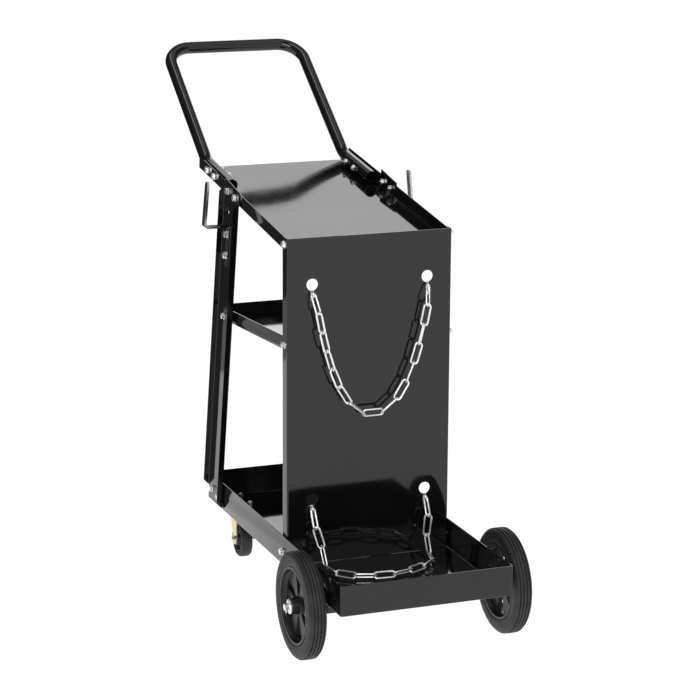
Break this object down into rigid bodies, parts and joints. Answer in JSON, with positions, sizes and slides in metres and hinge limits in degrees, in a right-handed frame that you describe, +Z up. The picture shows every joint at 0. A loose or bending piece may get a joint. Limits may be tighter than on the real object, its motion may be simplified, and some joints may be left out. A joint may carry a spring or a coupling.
{
  "type": "welding cart",
  "caption": "Wheeled welding cart in black folded steel: sloping top shelf, middle shelf, base tray, bottle bay with safety chains, push handle and cable hooks.",
  "frame": {"origin": "on the floor under the middle of the cart's bounding box", "axes": "+Z up; +Y towards the push handle and the castors; +X to the right seen from the bottle bay"},
  "size_m": [0.414, 0.984, 0.8907],
  "materials": {
    "black_coat": "gloss powder coat",
    "zinc": "bright zinc plate",
    "yellow_zinc": "yellow passivated zinc",
    "steel": "bright rivet steel",
    "rubber": "moulded matt rubber",
    "black_plastic": "moulded satin plastic"
  },
  "bodies": {
    "cart": {"base_tray": "black_coat", "bottle_panel": "black_coat", "middle_shelf": "black_coat", "top_shelf": "black_coat", "handle": "black_coat", "axle_carrier": "black_coat", "axle": "zinc", "post_left": "black_coat", "cable_hook_left": "zinc", "wheel_washer_left": "zinc", "wheel_spacer_left": "zinc", "split_pin_left": "zinc", "castor_plate_left": "yellow_zinc", "castor_kingpin_left": "steel", "post_right": "black_coat", "cable_hook_right": "zinc", "wheel_washer_right": "zinc", "wheel_spacer_right": "zinc", "split_pin_right": "zinc", "castor_plate_right": "yellow_zinc", "castor_kingpin_right": "steel", "handle_bolt_left_1": "zinc", "handle_bolt_left_2": "zinc", "handle_bolt_right_1": "zinc", "handle_bolt_right_2": "zinc", "post_top_bolt_left_1": "zinc", "post_top_bolt_left_2": "zinc", "post_top_bolt_right_1": "zinc", "post_top_bolt_right_2": "zinc", "post_middle_bolt_left": "zinc", "post_middle_bolt_right": "zinc", "post_tray_bolt_left_1": "zinc", "post_tray_bolt_left_2": "zinc", "post_tray_bolt_right_1": "zinc", "post_tray_bolt_right_2": "zinc", "hook_bolt_left_1": "zinc", "hook_bolt_left_2": "zinc", "hook_bolt_right_1": "zinc", "hook_bolt_right_2": "zinc", "panel_top_bolt_left": "zinc", "panel_top_bolt_right": "zinc", "panel_middle_bolt_left": "zinc", "panel_middle_bolt_right": "zinc", "panel_tray_bolt_left": "zinc", "panel_tray_bolt_right": "zinc"},
    "wheel_left": {"wheel_tyre_left": "rubber", "wheel_rim_left": "black_plastic"},
    "castor_left_swivel": {"castor_fork_left": "yellow_zinc", "castor_bolt_left": "zinc"},
    "castor_left_wheel": {"castor_tyre_left": "rubber", "castor_hub_left": "black_plastic"},
    "wheel_right": {"wheel_tyre_right": "rubber", "wheel_rim_right": "black_plastic"},
    "castor_right_swivel": {"castor_fork_right": "yellow_zinc", "castor_bolt_right": "zinc"},
    "castor_right_wheel": {"castor_tyre_right": "rubber", "castor_hub_right": "black_plastic"},
    "upper_chain": {"upper_chain": "zinc"},
    "lower_chain": {"lower_chain": "zinc"}
  },
  "joints": [
    {"name": "wheel_left_spin", "type": "hinge", "parent": "cart", "child": "wheel_left", "pos_m": [-0.1785, -0.3909, 0.0881], "axis": [1, 0, 0], "continuous": true},
    {"name": "castor_left_turn", "type": "hinge", "parent": "cart", "child": "castor_left_swivel", "pos_m": [-0.104, 0.1448, 0.0887], "axis": [0, 0, 1], "continuous": true},
    {"name": "castor_left_roll", "type": "hinge", "parent": "castor_left_swivel", "child": "castor_left_wheel", "pos_m": [-0.104, 0.1268, 0.0315], "axis": [1, 0, 0], "continuous": true},
    {"name": "wheel_right_spin", "type": "hinge", "parent": "cart", "child": "wheel_right", "pos_m": [0.1785, -0.3909, 0.0881], "axis": [1, 0, 0], "continuous": true},
    {"name": "castor_right_turn", "type": "hinge", "parent": "cart", "child": "castor_right_swivel", "pos_m": [0.104, 0.1448, 0.0887], "axis": [0, 0, 1], "continuous": true},
    {"name": "castor_right_roll", "type": "hinge", "parent": "castor_right_swivel", "child": "castor_right_wheel", "pos_m": [0.104, 0.1268, 0.0315], "axis": [1, 0, 0], "continuous": true},
    {"name": "upper_chain_swing", "type": "hinge", "parent": "cart", "child": "upper_chain", "pos_m": [0, -0.2312, 0.564], "axis": [-1, 0, 0], "range_deg": [0, 20]},
    {"name": "lower_chain_swing", "type": "hinge", "parent": "cart", "child": "lower_chain", "pos_m": [0, -0.2312, 0.1974], "axis": [-1, 0, 0], "range_deg": [0, 20]}
  ]
}
